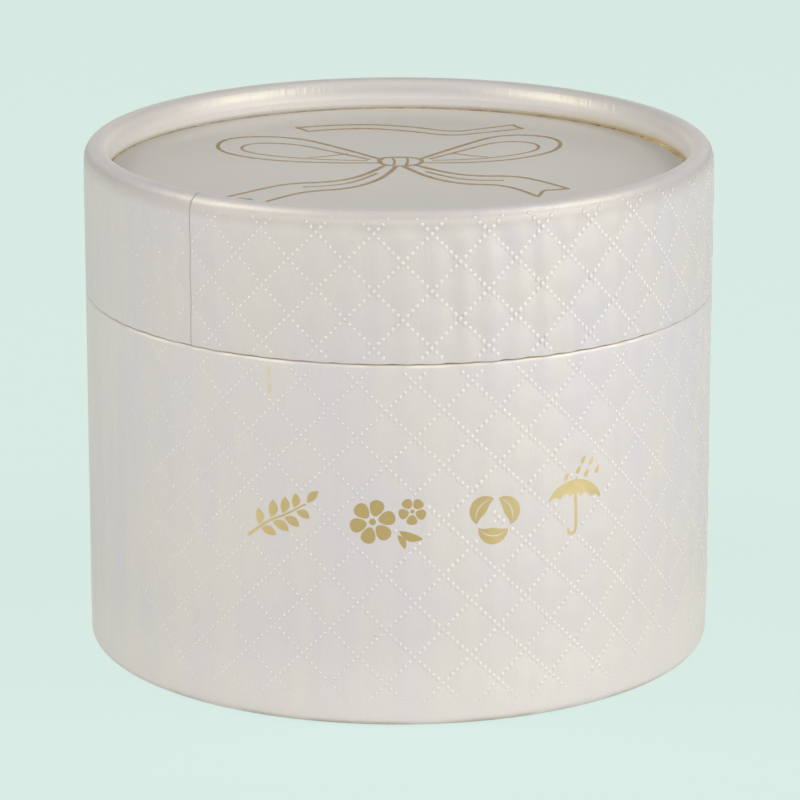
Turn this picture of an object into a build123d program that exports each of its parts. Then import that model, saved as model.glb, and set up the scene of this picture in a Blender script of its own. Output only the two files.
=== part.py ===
"""A round gift tube for a strap watch: a lid and a base of board tube, flush with each other outside.

Each tube's far end is rolled inwards: the wall folds over and comes back down as an inner leg.
The leg holds a recessed disc, the lid's panel above and the base's bottom below.
A thinner tube, the neck, is glued inside the base and stands up into the lid, which slides over it.
Inside the neck a card ring carries a platform with a well, where the watch sits round its cushion.
Embossed paper wraps both tubes, turned over their cut edges and rolled in with them.

Origin: the centre of the foot, on the surface that the box stands on. +Z is up. -Y is the front.
"""

import os

from build123d import *

os.makedirs("parts", exist_ok=True)

# Overall sizes, over the paper
outer_radius = 50.0
total_height = 81.0
parting_height = 57.5

# Papers and boards
wrap_paper = 0.3
face_paper = 0.3
neck_paper = 0.25
base_board = 1.5
lid_board = 1.25
neck_board = 1.25
disc_board = 1.5

# Rolled ends
rim_width = 3.6
inner_round = 0.9
lid_rim_round = 2.4
foot_round = 1.6
lid_recess = 5.0
foot_recess = 5.0
cut_edge_round = 0.2

# The neck and its fits
glue_line = 0.05
neck_headroom = 0.9
neck_edge_round = 0.5
neck_turn_in = 18.0

# The insert: ring, platform, well
insert_clearance = 0.3
ring_card = 1.2
platform_height = 40.0
platform_board = 1.5
platform_paper = 0.3
window_end_land = 10.1
window_side_land = 18.1
window_corner = 10.0
well_card = 0.8
well_floor_height = 21.2
well_flange = 2.4
well_floor_round = 2.0
well_clearance = 0.1

# The pull ribbon and its slot
ribbon_width = 8.0
ribbon_thickness = 0.4
ribbon_tail = 5.0
ribbon_loop_height = 9.0
ribbon_loop_width = 4.4
ribbon_loop_round = 1.9
ribbon_fold_round = 0.3
ribbon_leg_gap = 0.2
slot_length = 9.6
slot_width = 1.8
slot_land = 9.1

# The cushion
pillow_clearance = 0.3
pillow_end_gap = 3.0
pillow_side_gap = 4.0
pillow_height = 38.0
pillow_corner_share = 0.40
# Along half the length, from the crown to the sewn end: the place, then the section drawn in there
pillow_place_shares = (0.0, 0.42, 0.72, 0.90, 0.98, 1.0)
pillow_width_shares = (1.0, 0.985, 0.94, 0.87, 0.79, 0.74)
pillow_height_shares = (1.0, 0.975, 0.90, 0.78, 0.66, 0.58)

# Radii that follow from the papers, boards and fits
board_radius = outer_radius - wrap_paper
leg_radius = outer_radius - rim_width
leg_board_radius = leg_radius + wrap_paper
base_bore = board_radius - base_board
lid_bore = board_radius - lid_board
neck_radius = base_bore - glue_line
neck_board_radius = neck_radius - neck_paper
neck_board_bore = neck_board_radius - neck_board
neck_bore = neck_board_bore - neck_paper
ring_radius = neck_bore - insert_clearance
slot_radius = ring_radius - slot_land

# Lengths and widths that follow from them
window_length = 2 * (ring_radius - window_end_land)
window_width = 2 * (ring_radius - window_side_land)
well_length = window_length - 2 * well_clearance
well_width = window_width - 2 * well_clearance
well_corner = window_corner - well_clearance
pillow_length = window_length - 2 * pillow_end_gap
pillow_width = window_width - 2 * pillow_side_gap

# Heights that follow from them
lid_face_top = total_height - lid_recess
lid_disc_top = lid_face_top - face_paper
lid_disc_low = lid_disc_top - disc_board
lid_ceiling_low = lid_disc_low - face_paper
base_disc_low = foot_recess + face_paper
base_disc_top = base_disc_low + disc_board
floor_height = base_disc_top + face_paper
neck_top = lid_ceiling_low - neck_headroom
platform_top = platform_height + platform_board
platform_face_top = platform_top + platform_paper
well_floor_top = well_floor_height + well_card
pillow_low = well_floor_top + pillow_clearance
pillow_middle = pillow_low + pillow_height / 2


def rolled_wall(edge, crest, leg_end, crest_round, inset):
    """A wall's line up its outside, over the rolled end and down the inner leg, set in by a thickness."""
    way = 1 if crest > edge else -1
    return FilletPolyline(
        (outer_radius - inset, edge),
        (outer_radius - inset, crest - way * inset),
        (leg_radius + inset, crest - way * inset),
        (leg_radius + inset, leg_end),
        radius=[crest_round - inset, inner_round - inset],
    )


def neck_edge(inset, outside_low, inside_low):
    """The neck's line up its outside, over its top edge and down its inside, set in by a thickness."""
    return FilletPolyline(
        (neck_radius - inset, outside_low),
        (neck_radius - inset, neck_top - inset),
        (neck_bore + inset, neck_top - inset),
        (neck_bore + inset, inside_low),
        radius=neck_edge_round - inset,
    )


# Base: the outer tube, rolled in at its foot
with BuildPart() as base_tube:
    with BuildSketch(Plane.XZ):
        with BuildLine():
            wall = rolled_wall(parting_height - wrap_paper, 0, foot_recess, foot_round, wrap_paper)
            Polyline(
                wall @ 0,
                (base_bore, parting_height - wrap_paper),
                (base_bore, foot_recess),
                wall @ 1,
            )
        make_face()
    revolve(axis=Axis.Z)
base_tube.part.label = "base_tube"
export_step(base_tube.part, "parts/base_tube.step")

# Base: its wrap, turned over the tube's cut edge and rolled in with the foot
with BuildPart() as base_wrap:
    with BuildSketch(Plane.XZ):
        with BuildLine():
            outside = rolled_wall(parting_height, 0, foot_recess, foot_round, 0)
            inside = rolled_wall(parting_height - wrap_paper, 0, foot_recess, foot_round, wrap_paper)
            Polyline(
                outside @ 0,
                (base_bore, parting_height),
                (base_bore, parting_height - wrap_paper),
                inside @ 0,
            )
            Line(outside @ 1, inside @ 1)
        make_face()
    revolve(axis=Axis.Z)
    turned_edge = base_wrap.edges().filter_by(GeomType.CIRCLE).group_by(Axis.Z)[-1]
    fillet(turned_edge.sort_by(SortBy.RADIUS)[-1], radius=cut_edge_round)
base_wrap.part.label = "base_wrap"
export_step(base_wrap.part, "parts/base_wrap.step")

# Base: the paper under the bottom board, pressed against the end of the foot's inner leg
with BuildPart() as base_disc_face:
    with BuildSketch(Plane.XY.offset(foot_recess)):
        Circle(base_bore - glue_line)
    extrude(amount=face_paper)
base_disc_face.part.label = "base_disc_face"
export_step(base_disc_face.part, "parts/base_disc_face.step")

# Base: the bottom board
with BuildPart() as base_disc:
    with BuildSketch(Plane.XY.offset(base_disc_low)):
        Circle(base_bore - glue_line)
    extrude(amount=disc_board)
base_disc.part.label = "base_disc"
export_step(base_disc.part, "parts/base_disc.step")

# Base: the paper on the floor, under the neck and the insert
with BuildPart() as floor_lining:
    with BuildSketch(Plane.XY.offset(base_disc_top)):
        Circle(base_bore - glue_line)
    extrude(amount=face_paper)
floor_lining.part.label = "floor_lining"
export_step(floor_lining.part, "parts/floor_lining.step")

# Neck: the inner tube, glued into the base, that the lid slides over
with BuildPart() as neck_tube:
    with BuildSketch(Plane.XZ):
        with BuildLine():
            core = neck_edge(neck_paper, floor_height, floor_height)
            Line(core @ 0, core @ 1)
        make_face()
    revolve(axis=Axis.Z)
neck_tube.part.label = "neck_tube"
export_step(neck_tube.part, "parts/neck_tube.step")

# Neck: its outer paper, turned over the top edge and some way down the inside
with BuildPart() as neck_wrap:
    with BuildSketch(Plane.XZ):
        with BuildLine():
            outside = neck_edge(0, floor_height, neck_top - neck_turn_in)
            inside = neck_edge(neck_paper, floor_height, neck_top - neck_turn_in)
            Line(outside @ 0, inside @ 0)
            Line(outside @ 1, inside @ 1)
        make_face()
    revolve(axis=Axis.Z)
neck_wrap.part.label = "neck_wrap"
export_step(neck_wrap.part, "parts/neck_wrap.step")

# Neck: the paper inside it, from the floor up to the turned-in edge
with BuildPart() as neck_lining:
    with BuildSketch(Plane.XY.offset(floor_height)):
        Circle(neck_board_bore)
        Circle(neck_bore, mode=Mode.SUBTRACT)
    extrude(amount=neck_top - neck_turn_in - floor_height)
neck_lining.part.label = "neck_lining"
export_step(neck_lining.part, "parts/neck_lining.step")

# Lid: the outer tube, rolled in at its top
with BuildPart() as lid_tube:
    with BuildSketch(Plane.XZ):
        with BuildLine():
            wall = rolled_wall(
                parting_height + wrap_paper, total_height, lid_face_top, lid_rim_round, wrap_paper
            )
            Polyline(
                wall @ 0,
                (lid_bore, parting_height + wrap_paper),
                (lid_bore, lid_face_top),
                wall @ 1,
            )
        make_face()
    revolve(axis=Axis.Z)
lid_tube.part.label = "lid_tube"
export_step(lid_tube.part, "parts/lid_tube.step")

# Lid: its wrap, turned over the tube's cut edge and rolled in with the rim
with BuildPart() as lid_wrap:
    with BuildSketch(Plane.XZ):
        with BuildLine():
            outside = rolled_wall(parting_height, total_height, lid_face_top, lid_rim_round, 0)
            inside = rolled_wall(
                parting_height + wrap_paper, total_height, lid_face_top, lid_rim_round, wrap_paper
            )
            Polyline(
                outside @ 0,
                (lid_bore, parting_height),
                (lid_bore, parting_height + wrap_paper),
                inside @ 0,
            )
            Line(outside @ 1, inside @ 1)
        make_face()
    revolve(axis=Axis.Z)
    turned_edge = lid_wrap.edges().filter_by(GeomType.CIRCLE).group_by(Axis.Z)[0]
    fillet(turned_edge.sort_by(SortBy.RADIUS)[-1], radius=cut_edge_round)
lid_wrap.part.label = "lid_wrap"
export_step(lid_wrap.part, "parts/lid_wrap.step")

# Lid: the smooth paper on the panel, under the end of the rim's inner leg
with BuildPart() as lid_disc_face:
    with BuildSketch(Plane.XY.offset(lid_disc_top)):
        Circle(lid_bore - glue_line)
    extrude(amount=face_paper)
lid_disc_face.part.label = "lid_disc_face"
export_step(lid_disc_face.part, "parts/lid_disc_face.step")

# Lid: the panel's board
with BuildPart() as lid_disc:
    with BuildSketch(Plane.XY.offset(lid_disc_low)):
        Circle(lid_bore - glue_line)
    extrude(amount=disc_board)
lid_disc.part.label = "lid_disc"
export_step(lid_disc.part, "parts/lid_disc.step")

# Lid: the paper under the panel
with BuildPart() as lid_ceiling:
    with BuildSketch(Plane.XY.offset(lid_ceiling_low)):
        Circle(lid_bore - glue_line)
    extrude(amount=face_paper)
lid_ceiling.part.label = "lid_ceiling"
export_step(lid_ceiling.part, "parts/lid_ceiling.step")

# Insert: the card ring that stands on the floor
with BuildPart() as tray_ring:
    with BuildSketch(Plane.XY.offset(floor_height)):
        Circle(ring_radius)
        Circle(ring_radius - ring_card, mode=Mode.SUBTRACT)
    extrude(amount=platform_height - floor_height)
tray_ring.part.label = "tray_ring"
export_step(tray_ring.part, "parts/tray_ring.step")

# Insert: the platform on the ring, with the well's window and the ribbon's slot
with BuildPart() as tray_board:
    with BuildSketch(Plane.XY.offset(platform_height)):
        Circle(ring_radius)
        RectangleRounded(window_length, window_width, window_corner, mode=Mode.SUBTRACT)
        with Locations((0, -slot_radius)):
            SlotOverall(slot_length, slot_width, mode=Mode.SUBTRACT)
    extrude(amount=platform_board)
tray_board.part.label = "tray_board"
export_step(tray_board.part, "parts/tray_board.step")

# Insert: the facing on the platform
with BuildPart() as tray_face:
    with BuildSketch(Plane.XY.offset(platform_top)):
        Circle(ring_radius)
        RectangleRounded(window_length, window_width, window_corner, mode=Mode.SUBTRACT)
        with Locations((0, -slot_radius)):
            SlotOverall(slot_length, slot_width, mode=Mode.SUBTRACT)
    extrude(amount=platform_paper)
tray_face.part.label = "tray_face"
export_step(tray_face.part, "parts/tray_face.step")

# Insert: the formed card well, hung by its flange under the platform
with BuildPart() as tray_well:
    with BuildSketch(Plane.XY.offset(well_floor_height)):
        RectangleRounded(well_length, well_width, well_corner)
    extrude(amount=platform_face_top - well_floor_height)
    with BuildSketch(Plane.XY.offset(platform_height)):
        RectangleRounded(
            window_length + 2 * well_flange,
            window_width + 2 * well_flange,
            window_corner + well_flange,
        )
    extrude(amount=-well_card)
    well_bottom = tray_well.faces().sort_by(Axis.Z)[0]
    fillet(well_bottom.edges(), radius=well_floor_round)
    with BuildSketch(Plane.XY.offset(platform_face_top)):
        RectangleRounded(
            well_length - 2 * well_card,
            well_width - 2 * well_card,
            well_corner - well_card,
        )
    extrude(amount=well_floor_top - platform_face_top, mode=Mode.SUBTRACT)
    hollow_floor = tray_well.faces().filter_by(Plane.XY).sort_by(Axis.Z)[1]
    fillet(hollow_floor.edges(), radius=well_floor_round - well_card)
tray_well.part.label = "tray_well"
export_step(tray_well.part, "parts/tray_well.step")

# Insert: the pull ribbon, a loop that comes up through the slot from two tails glued under the platform
leg_place = ribbon_leg_gap / 2 + ribbon_thickness / 2
tail_height = platform_height - ribbon_thickness / 2
loop_low = platform_face_top + ribbon_loop_height - ribbon_loop_width
loop_top = platform_face_top + ribbon_loop_height
with BuildPart() as tray_ribbon:
    with BuildSketch(Plane.YZ):
        with BuildLine():
            FilletPolyline(
                (-slot_radius - leg_place - ribbon_tail, tail_height),
                (-slot_radius - leg_place, tail_height),
                (-slot_radius - leg_place, platform_face_top + ribbon_fold_round),
                (-slot_radius - ribbon_loop_width / 2, loop_low),
                (-slot_radius - ribbon_loop_width / 2, loop_top),
                (-slot_radius + ribbon_loop_width / 2, loop_top),
                (-slot_radius + ribbon_loop_width / 2, loop_low),
                (-slot_radius + leg_place, platform_face_top + ribbon_fold_round),
                (-slot_radius + leg_place, tail_height),
                (-slot_radius + leg_place + ribbon_tail, tail_height),
                radius=[
                    ribbon_fold_round,
                    ribbon_loop_round,
                    ribbon_loop_round,
                    ribbon_loop_round,
                    ribbon_loop_round,
                    ribbon_loop_round,
                    ribbon_loop_round,
                    ribbon_fold_round,
                ],
            )
        trace(line_width=ribbon_thickness)
    extrude(amount=ribbon_width / 2, both=True)
tray_ribbon.part.label = "tray_ribbon"
export_step(tray_ribbon.part, "parts/tray_ribbon.step")

# The cushion that the watch is strapped round: crowned in the middle, drawn in to its sewn ends
with BuildPart() as watch_pillow:
    places = list(zip(pillow_place_shares, pillow_width_shares, pillow_height_shares))
    sections = [(-place, width, height) for place, width, height in reversed(places[1:])] + places
    for place, width, height in sections:
        across = width * pillow_width
        tall = height * pillow_height
        with BuildSketch(Plane.YZ.offset(place * pillow_length / 2)):
            with Locations((0, pillow_middle)):
                RectangleRounded(across, tall, pillow_corner_share * tall)
    loft()
watch_pillow.part.label = "watch_pillow"
export_step(watch_pillow.part, "parts/watch_pillow.step")
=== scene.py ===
# %% [markdown]
# # A round gift tube in quilted pearl paper
# This lesson dresses a measured box: a lid and a base of rolled board, covered with embossed paper.
# The measured solids already give every size, so each piece here takes its place from them.
# We load them first and read off the few sizes that the new surfaces share with them.

# %% Load the measured box
import math

import bpy
import numpy as np
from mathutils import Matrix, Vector
from mathutils.geometry import delaunay_2d_cdt


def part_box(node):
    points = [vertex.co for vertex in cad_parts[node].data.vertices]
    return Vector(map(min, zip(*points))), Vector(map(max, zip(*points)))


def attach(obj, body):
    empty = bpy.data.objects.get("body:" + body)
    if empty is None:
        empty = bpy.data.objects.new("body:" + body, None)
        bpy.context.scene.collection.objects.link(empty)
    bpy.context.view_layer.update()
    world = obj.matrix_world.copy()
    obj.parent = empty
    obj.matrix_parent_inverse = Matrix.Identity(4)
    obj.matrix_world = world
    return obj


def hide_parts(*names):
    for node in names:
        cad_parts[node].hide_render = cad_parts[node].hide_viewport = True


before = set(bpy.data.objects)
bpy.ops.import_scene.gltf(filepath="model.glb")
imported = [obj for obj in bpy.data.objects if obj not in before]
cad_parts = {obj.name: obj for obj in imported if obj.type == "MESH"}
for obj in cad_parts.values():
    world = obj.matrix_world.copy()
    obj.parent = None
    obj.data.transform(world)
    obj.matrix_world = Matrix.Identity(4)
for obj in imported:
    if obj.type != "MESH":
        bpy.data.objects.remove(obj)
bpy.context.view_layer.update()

MM = 0.001

wall_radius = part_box("base_wrap")[1][0] / MM
parting_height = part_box("lid_wrap")[0][2] / MM
crest_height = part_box("lid_wrap")[1][2] / MM
panel_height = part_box("lid_disc_face")[1][2] / MM
bottom_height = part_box("base_disc_face")[0][2] / MM
lid_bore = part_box("lid_disc")[1][0] / MM + 0.05
base_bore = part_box("base_disc")[1][0] / MM + 0.05
print(f"wall radius {wall_radius:.2f}, parting at {parting_height:.2f}, crest at {crest_height:.2f} mm")
print(f"lid panel at {panel_height:.2f}, bottom face at {bottom_height:.2f} mm")

# %% [markdown]
# ## Surfaces from arrays
# Paper, foil and cloth are all thin skins, so each is worked out as a grid of points.
# A grid needs no modelling by hand: a formula gives all its points at once, and neighbours make the faces.
# The volume that the faces enclose tells which way they look, and it is turned positive, outwards.

# %% Make a mesh from points and faces
def make_piece(name, points, faces, smooth=True):
    """An object in metres from points in millimetres.

    The volume under the faces is the sum of each corner triple's product, a . (b x c) / 6.
    A closed skin whose volume comes out negative is inside out, and is turned.
    """
    mesh = bpy.data.meshes.new(name)
    mesh.from_pydata((np.asarray(points) * MM).tolist(), [], faces)
    mesh.update()
    mesh.calc_loop_triangles()
    corners = np.empty(len(mesh.loop_triangles) * 3, dtype=int)
    mesh.loop_triangles.foreach_get("vertices", corners)
    a, b, c = np.asarray(points)[corners.reshape(-1, 3)].transpose(1, 0, 2)
    volume = (a * np.cross(b, c)).sum() / 6
    if volume < 0:
        mesh.flip_normals()
    mesh.polygons.foreach_set("use_smooth", [smooth] * len(mesh.polygons))
    piece = bpy.data.objects.new(name, mesh)
    bpy.context.scene.collection.objects.link(piece)
    print(f"{name}: {len(corners) // 3} triangles, {abs(volume):.1f} cubic millimetres")
    return piece


def grid_faces(rows, columns, close_rows=False, close_columns=False):
    """Each cell of a grid as one face. A closed direction joins its last line of points to its first."""
    index = np.arange(rows * columns).reshape(rows, columns)
    if close_rows:
        index = np.vstack([index, index[:1]])
    if close_columns:
        index = np.hstack([index, index[:, :1]])
    cells = [index[:-1, :-1], index[:-1, 1:], index[1:, 1:], index[1:, :-1]]
    return np.stack(cells, axis=-1).reshape(-1, 4).tolist()


# %% [markdown]
# ## The camera
# The photograph looks slightly down on the box through a long lens, from about three quarters of a metre.
# Its outlines give the angle: the parting line shows as an ellipse about a quarter as high as it is wide.
# The camera stands straight in front, above the box, turns with no roll and aims a little below its middle.
# A camera fitted to outlines can be used again for any picture of the piece, which one set by eye can't.

# %% Set up the camera
camera_distance = 0.765
camera_elevation = math.radians(15.69)
camera_aim = Vector((0.00022, 0.0, 0.03803))

camera_data = bpy.data.cameras.new("camera")
camera_data.lens = 213.8
camera_data.sensor_width = 36.0
camera_data.clip_start = 0.01
camera = bpy.data.objects.new("camera", camera_data)
bpy.context.scene.collection.objects.link(camera)
outwards = Vector((0.0, -math.cos(camera_elevation), math.sin(camera_elevation)))
camera.location = camera_aim + camera_distance * outwards
camera.rotation_euler = outwards.to_track_quat("Z", "Y").to_euler()
bpy.context.scene.camera = camera
print(f"camera {camera_distance} m away, {math.degrees(camera_elevation):.1f} degrees above level")

# %% [markdown]
# ## The quilted press
# A patterned roller presses the paper before it goes on the tube.
# It raises small beads along two families of slanting lines, and leaves the diamonds between them puffed.
# Thirty-six diamonds go round, so the pattern meets itself behind. The lines are where either of two slanted
# coordinates is a whole number. A picture could push the surface about as a displacement map, but a formula
# has no pixels, and the paper, the beads and the foil can all ask it for the height at any place.

# %% Describe the pattern
diamonds_round = 36
pitch_round = 2 * math.pi * wall_radius / diamonds_round
lid_press = {"rise": 8.82, "round_start": 0.6, "up_start": 2.62}
base_press = {"rise": 8.68, "round_start": 6.8, "up_start": 6.87}
beads_a_side = 6
puff_height = 0.17
valley_depth = 0.13
valley_radius = wall_radius - valley_depth


def slants(around, up, press):
    """Two slanted coordinates: around over its pitch, plus or minus height over its rise."""
    a = (around - press["round_start"]) / pitch_round
    b = (up - press["up_start"]) / press["rise"]
    return a + b, a - b


def puff(around, up, press):
    """How far a diamond stands up, from 0 on the lines to 1: |sin(pi a) sin(pi b)| to the power 0.75."""
    a, b = slants(around, up, press)
    return np.abs(np.sin(math.pi * a) * np.sin(math.pi * b)) ** 0.75


def pressure(around):
    """How firmly the roller pressed, at each place round the wall.

    It is a cosine of one wave a turn, fullest a little right of the front, and a faint one of three waves,
    less a bell exp(-t^2) on the left flank, plus a ramp that rises behind.
    """
    turn = around / wall_radius
    flank = np.exp(-(((turn + 1.30) / 0.28) ** 2))
    behind = 0.5 * np.clip((np.abs(turn) - 1.7) / 0.6, 0, 1)
    return 0.62 + 0.30 * np.cos(turn - 0.55) + 0.08 * np.cos(3 * turn + 0.4) - 0.40 * flank + behind


def pleats(around, up):
    """Soft upright waves in the sheet: sines of 29, 72 and 97 waves a turn, which sway with the height."""
    turn = around / wall_radius
    wide = 0.026 * np.sin(29 * turn + 0.9 * np.sin(up / 11 + 0.5))
    middle = 0.036 * np.sin(72 * turn + 0.7 * np.sin(up / 7 + 2.0))
    fine = 0.008 * np.sin(97 * turn + 1.7 * np.sin(up / 5))
    return wide + middle + fine


print(f"a diamond is {pitch_round:.2f} mm wide and {base_press['rise']:.2f} mm high")

# %% [markdown]
# ## Foil marks: outlines first
# A row of flat gold marks is stamped on the base. Their outlines come before the paper,
# because the hot stamp flattens the beads under it.
# They could be traced curves, but a few formulas draw leaves, petals and stems with clean round edges.
# Each outline is a closed loop of points in millimetres, around the wall and up from the foot.

# %% Draw leaves, petals and strips
def leaf(base, tip, width, bend=0.0, points=26):
    """A pointed leaf.

    Along its middle line the half width is sin(pi t) to the power 0.8, and the line bows sideways by
    bend times sin(pi t).
    """
    base, tip = np.array(base, float), np.array(tip, float)
    t = np.linspace(0, 1, points)
    along = tip - base
    side = np.array([-along[1], along[0]]) / np.hypot(*along)
    middle = base + t[:, None] * along + bend * np.sin(math.pi * t)[:, None] * side
    half = width / 2 * np.sin(math.pi * t) ** 0.8
    left = middle + half[:, None] * side
    right = middle - half[:, None] * side
    return np.vstack([left, right[-2:0:-1]])


def petal(centre, angle, inner, outer, width, points=30):
    """A round-ended petal that points away from a flower's centre: an egg shape, wider towards its tip."""
    t = np.linspace(0, 2 * math.pi, points, endpoint=False)
    reach = (inner + outer) / 2 - (outer - inner) / 2 * np.cos(t)
    spread = width / 2 * np.sin(t) * (1 - 0.28 * np.cos(t))
    x = centre[0] + reach * math.cos(angle) - spread * math.sin(angle)
    y = centre[1] + reach * math.sin(angle) + spread * math.cos(angle)
    return np.stack([x, y], axis=1)


def strip(line, width, taper=0.0):
    """A line given a width. With taper, the width falls by that share towards the far end."""
    line = np.asarray(line, float)
    run = np.gradient(line, axis=0)
    side = np.stack([-run[:, 1], run[:, 0]], axis=1) / np.hypot(run[:, 0], run[:, 1])[:, None]
    half = width / 2 * (1 - taper * np.linspace(0, 1, len(line)))
    return np.vstack([line + half[:, None] * side, (line - half[:, None] * side)[::-1]])


def curve(control, count):
    """A smooth line near its control points: a quadratic B-spline that starts and ends on them."""
    control = np.asarray(control, float)
    middles = (control[:-1] + control[1:]) / 2
    starts = np.vstack([control[:1], middles[1:-1]])
    ends = np.vstack([middles[1:-1], control[-1:]])
    pulls = control[1:-1]
    t = np.linspace(0, 1, count, endpoint=False)[None, :, None]
    run = starts[:, None] * (1 - t) ** 2 + 2 * pulls[:, None] * t * (1 - t) + ends[:, None] * t**2
    return np.vstack([run.reshape(-1, 2), control[-1:]])


print(len(leaf((0, 0), (3, 0), 1.4)), "points round a leaf")
print(len(petal((0, 0), 0, 1, 2, 1)), "points round a petal")

# %% [markdown]
# ## The four ornaments
# The motifs are plain ornaments: a sprig, two blossoms, a ring of three leaves and an umbrella in the rain.
# Text objects in a font of symbols would give such signs at once, but these need no font, and they match,
# as all come from the same few helpers. Each is a list of loops around its own middle, and is then set
# down at its place in the row.

# %% Compose the four marks
def sprig(x, y):
    """A bent stem with leaves in pairs along it."""
    stem = curve([(-5.6, -3.9), (-2.5, -1.2), (1.0, 0.2), (4.0, 2.1)], 12)
    loops = [strip(stem, 0.5, 0.5)]
    for share, length, width in ((0.18, 2.6, 1.4), (0.41, 2.9, 1.5), (0.64, 2.7, 1.45), (0.86, 2.3, 1.3)):
        place = int(share * (len(stem) - 1))
        root = stem[place]
        heading = math.atan2(*(stem[place + 1] - stem[place])[::-1])
        for turn in (0.95, -0.95):
            way = np.array([math.cos(heading + turn), math.sin(heading + turn)])
            stalk, point = root + 0.42 * way, root + (0.42 + length) * way
            loops.append(leaf(stalk, point, width, 0.22 * np.sign(-turn)))
    loops.append(leaf((4.25, 2.3), (6.0, 4.3), 1.25, 0.15))
    return [loop + (x, y) for loop in loops]


def blossoms(x, y):
    """A large and a small flower, with two leaves between them."""
    loops = []
    for centre, size, petals, start in (((-2.35, -0.15), 3.55, 6, 0.25), ((3.7, 1.55), 2.15, 5, 0.9)):
        for k in range(petals):
            angle = start + 2 * math.pi * k / petals
            loops.append(petal(centre, angle, 0.26 * size, size, 0.61 * size * 6 / petals))
        turn = np.linspace(0, 2 * math.pi, 16, endpoint=False)
        loops.append(np.array(centre) + 0.15 * size * np.stack([np.cos(turn), np.sin(turn)], axis=1))
    loops.append(leaf((1.7, -1.6), (5.3, -2.9), 1.35, -0.3))
    loops.append(leaf((1.5, -2.2), (2.6, -4.4), 1.0, 0.2))
    return [loop + (x, y) for loop in loops]


def leaf_ring(x, y):
    """Three leaves that chase each other round a ring.

    Each is two halves of an arc, beside a gap for its vein: the half's far edge stands off by its width
    times sin(pi t) to the power 0.9.
    """
    loops = []
    t = np.linspace(0, 1, 30)
    for k in range(3):
        angle = np.radians(92 + 120 * k + 106 * t)
        way = np.stack([np.cos(angle), np.sin(angle)], axis=1)
        for side, width in ((1, 1.25), (-1, 1.2)):
            near = 2.95 + side * 0.09 * np.sin(math.pi * t) ** 0.9
            far = near + side * width * np.sin(math.pi * t) ** 0.9
            loops.append(np.vstack([near[:, None] * way, (far[:, None] * way)[-2:0:-1]]))
    return [loop + (x, y) for loop in loops]


def umbrella(x, y):
    """An open umbrella with a hooked handle, under six slanting drops."""
    over = np.linspace(math.pi, 0, 34)
    crown = np.stack([4.8 * np.cos(over), 0.15 + 3.1 * np.sin(over) ** 1.3], axis=1)
    under = np.linspace(1, 0, 60)
    scallop = -0.35 + 0.75 * np.abs(np.sin(5 * math.pi * under)) ** 0.7 + 0.9 * np.sin(math.pi * under)
    hem = np.stack([9.6 * under - 4.8, scallop - 0.1], axis=1)
    canopy = np.vstack([crown, hem[1:-1]])
    hook = curve([(0.02, 1.2), (0.1, -1.2), (0.22, -4.9), (-0.5, -5.35), (-1.25, -5.1), (-1.35, -4.35)], 8)
    top = np.array([(-0.16, 3.0), (0.16, 3.0), (0.07, 3.6), (-0.07, 3.6)])
    tilt = math.radians(-4)
    turn = np.array([[math.cos(tilt), math.sin(tilt)], [-math.sin(tilt), math.cos(tilt)]])
    loops = [canopy @ turn, top @ turn, strip(hook, 0.5)]
    for dx, dy in ((-1.65, 3.75), (0.6, 4.5), (2.1, 3.75), (1.45, 6.0), (2.95, 5.5), (4.15, 4.0)):
        loops.append(petal((dx + 0.3, dy + 0.8), math.radians(242), 0.0, 1.35, 0.66, 18))
    return [loop + (x, y) for loop in loops]


foil_marks = {
    "foil_sprig": sprig(-18.3, 33.0),
    "foil_blossoms": blossoms(-1.6, 33.0),
    "foil_leaf_ring": leaf_ring(14.8, 33.0),
    "foil_umbrella": umbrella(28.6, 34.0),
}
foil_loops = [loop for loops in foil_marks.values() for loop in loops]
for mark, loops in foil_marks.items():
    span = np.ptp(np.vstack(loops), axis=0)
    print(f"{mark}: {len(loops)} outlines, {span[0]:.1f} by {span[1]:.1f} mm")

# %% [markdown]
# ## Under the stamp
# The stamp's heat and weight press the quilting flat, so two tests are needed: whether a bead lies under
# the foil, by counting how often a line from it crosses the outline, and how flat the paper is near a mark.
# A Boolean modifier would cut the beads away too, but it is slow on thousands of them, and leaves scars.

# %% Tell whether points lie under the foil
def inside(points, loop):
    """True where a line to the right of a point crosses the loop an odd number of times."""
    x, y = points[:, 0], points[:, 1]
    odd = np.zeros(len(points), bool)
    for (x0, y0), (x1, y1) in zip(loop, np.roll(loop, -1, axis=0)):
        if y0 == y1:
            continue
        crosses = (y0 > y) != (y1 > y)
        odd ^= crosses & (x < x0 + (y - y0) * (x1 - x0) / (y1 - y0))
    return odd


def stamped(around, up, reach):
    """1 under the marks, 0 well away: exp(-(x^4 + y^4)^2), with x and y in half sizes of the mark."""
    flat = np.zeros(np.broadcast(around, up).shape)
    for loops in foil_marks.values():
        outline = np.vstack(loops)
        low, high = outline.min(axis=0), outline.max(axis=0)
        centre, half = (low + high) / 2, (high - low) / 2 + reach
        oval = ((around - centre[0]) / half[0]) ** 4 + ((up - centre[1]) / half[1]) ** 4
        flat = np.maximum(flat, np.exp(-(oval**2)))
    return flat


middle_of_blossoms = np.vstack(foil_marks["foil_blossoms"]).mean(axis=0)
print(f"stamped flat in the middle of the blossoms: {stamped(*middle_of_blossoms, 0.4).item():.2f} of full")

# %% [markdown]
# ## The paper's section
# On the real box one sheet covers the tube: it is turned over the cut edge, runs along the wall,
# goes over the rolled end and dives down its inner leg to the recessed disc.
# That is a profile carried round the axis. A spin or screw modifier would turn it too, but only a grid
# lets every point move by its own amount, as the quilting needs. The profile is straight runs and arcs.

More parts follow.
